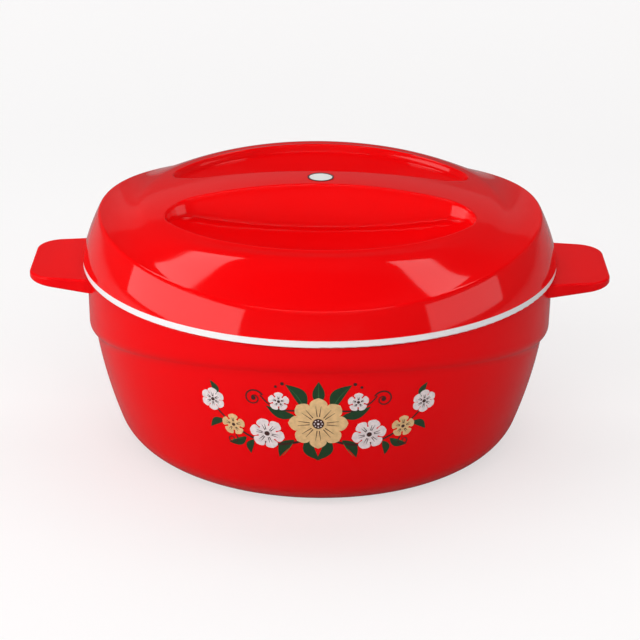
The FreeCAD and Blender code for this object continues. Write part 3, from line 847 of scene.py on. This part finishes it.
def make_print():
    print_piece("print_leaves", leaf_outlines(), LEAF_LIFT, INK_GREEN)
    print_piece("print_ribs", rib_outlines(), STEM_LIFT, INK_LEAF_LIGHT)
    print_piece("print_stems", stem_outlines(), STEM_LIFT, INK_BROWN)
    print_piece("print_cream", cream_outlines(), PETAL_LIFT, INK_CREAM)
    print_piece("print_pale", pale_outlines(), PETAL_LIFT, INK_PALE)
    print_piece("print_veins", vein_outlines(), VEIN_LIFT, INK_BROWN)
    print_piece("print_heart", [disc(0, 0, 3.2, 20)], VEIN_LIFT, INK_BROWN)
    print_piece("print_seeds", seed_outlines(), SEED_LIFT, INK_PALE)


# Camera, in metres

CAMERA_PLACE = Vector((0.0, -1.2194, 0.5608))
CAMERA_TARGET = Vector((0.0, 0.0, 0.1101))
CAMERA_ROLL = 0.010
CAMERA_LENS = 125.96
CAMERA_SENSOR = 36.0
CAMERA_SHIFT = -0.1086
CAMERA_FAR = 50.0


def add_camera():
    data = bpy.data.cameras.new("view")
    data.lens = CAMERA_LENS
    data.sensor_width = CAMERA_SENSOR
    data.shift_y = CAMERA_SHIFT
    data.clip_end = CAMERA_FAR
    camera = bpy.data.objects.new("view", data)
    bpy.context.scene.collection.objects.link(camera)
    ahead = (CAMERA_TARGET - CAMERA_PLACE).normalized()
    right = ahead.cross(Vector((0, 0, 1))).normalized()
    above = right.cross(ahead)
    turned_right = right * math.cos(CAMERA_ROLL) + above * math.sin(CAMERA_ROLL)
    turned_up = above * math.cos(CAMERA_ROLL) - right * math.sin(CAMERA_ROLL)
    axes = Matrix((turned_right, turned_up, -ahead)).transposed().to_4x4()
    camera.matrix_world = Matrix.Translation(CAMERA_PLACE) @ axes
    bpy.context.scene.camera = camera


# Lights, with places and sizes in metres: soft fills, then panels that show in the gloss

LIGHT_AIM = Vector((0.0, 0.0, 0.11))
LOW_AIM = Vector((0.0, 0.0, 0.05))


def add_area(name, place, size, watts, aim=LIGHT_AIM, glossy=True):
    data = bpy.data.lights.new(name, "AREA")
    data.shape = "RECTANGLE"
    data.size, data.size_y = size
    data.energy = watts
    light = bpy.data.objects.new(name, data)
    bpy.context.scene.collection.objects.link(light)
    light.location = place
    light.rotation_euler = (aim - Vector(place)).to_track_quat("-Z", "Y").to_euler()
    light.visible_glossy = glossy


def add_fills():
    add_area("front_fill", (0.0, -1.9, 1.8), (2.2, 1.4), watts=25, glossy=False)
    add_area("low_fill", (-0.4, -2.0, 0.35), (2.4, 0.5), watts=10, aim=LOW_AIM, glossy=False)
    add_area("left_fill", (-2.2, -0.8, 0.9), (1.6, 1.4), watts=25, glossy=False)
    add_area("right_fill", (2.2, -0.8, 0.9), (1.6, 1.4), watts=10, glossy=False)
    add_area("top_soft", (0.0, 1.8, 3.4), (4.4, 4.0), watts=84, glossy=False)


def add_panels():
    add_area("left_panel", (-1.55, -0.65, 0.42), (2.1, 0.68), watts=9.0)
    add_area("right_panel", (1.60, -0.55, 0.38), (1.3, 0.5), watts=2.4)
    add_area("left_high", (-0.95, 0.70, 1.80), (0.8, 0.5), watts=2.6)
    add_area("right_high", (0.85, 0.45, 1.85), (0.7, 0.4), watts=1.8)
    add_area("high_line", (0.0, -1.5, 2.3), (2.6, 0.18), watts=4.0)
    add_area("back_glow", (0.0, 3.0, 1.25), (3.4, 0.7), watts=0.7)


# Stage: a round floor and a backdrop round it, just below the foot

STAGE_NEAR = 600.0
STAGE_RADIUS = 4600.0
STAGE_HEIGHT = 4000.0
STAGE_SIDES = 96
FLOOR_LEVEL = -0.2
FLOOR_GLOW = 0.613
FLOOR_FAR_GLOW = 1.0
BACKDROP_GLOW = 0.95
ROOM_LIGHT = 0.03


def stage_material(name, color, glow, far_glow):
    """Matt pale surface that looks evenly white to the camera and stays dim in reflections."""
    material, tree, shader = new_material(name)
    shader.inputs["Base Color"].default_value = tinted(color)
    shader.inputs["Roughness"].default_value = 0.9
    shader.inputs["Specular IOR Level"].default_value = 0.1
    shader.inputs["Emission Color"].default_value = tinted((1.0, 0.99, 0.99))
    place = tree.nodes.new("ShaderNodeTexCoord")
    distance = tree.nodes.new("ShaderNodeVectorMath")
    distance.operation = "LENGTH"
    spread = tree.nodes.new("ShaderNodeMapRange")
    spread.inputs["From Min"].default_value = STAGE_NEAR * MM
    spread.inputs["From Max"].default_value = STAGE_RADIUS * MM
    spread.inputs["To Min"].default_value = glow
    spread.inputs["To Max"].default_value = far_glow
    path = tree.nodes.new("ShaderNodeLightPath")
    strength = tree.nodes.new("ShaderNodeMath")
    strength.operation = "MULTIPLY"
    tree.links.new(place.outputs["Object"], distance.inputs[0])
    tree.links.new(distance.outputs["Value"], spread.inputs["Value"])
    tree.links.new(spread.outputs["Result"], strength.inputs[0])
    tree.links.new(path.outputs["Is Camera Ray"], strength.inputs[1])
    tree.links.new(strength.outputs["Value"], shader.inputs["Emission Strength"])
    return material


def add_stage():
    floor_material = stage_material("floor_matt", (0.34, 0.335, 0.335), FLOOR_GLOW, FLOOR_FAR_GLOW)
    wall_material = stage_material("backdrop_matt", (0.30, 0.30, 0.30), BACKDROP_GLOW, BACKDROP_GLOW)
    turns = full_turn(STAGE_SIDES)
    edge = [ring(STAGE_RADIUS, level, turns) for level in (FLOOR_LEVEL, STAGE_HEIGHT)]
    floor = mesh_object("floor", edge[0], [tuple(range(STAGE_SIDES))], floor_material, smooth=False)
    wall = mesh_object("backdrop", np.vstack(edge), ring_faces(2, STAGE_SIDES), wall_material)


def set_world():
    scene = bpy.context.scene
    world = bpy.data.worlds.new("room")
    world.use_nodes = True
    background = world.node_tree.nodes["Background"]
    background.inputs["Color"].default_value = (1.0, 1.0, 1.0, 1.0)
    background.inputs["Strength"].default_value = ROOM_LIGHT
    scene.world = world
    scene.view_settings.view_transform = "Standard"


add_camera()
set_world()
add_stage()
add_fills()
add_panels()
dress_nodes()
make_body_shell()
make_lid_shell()
make_lid_foam()
make_print()
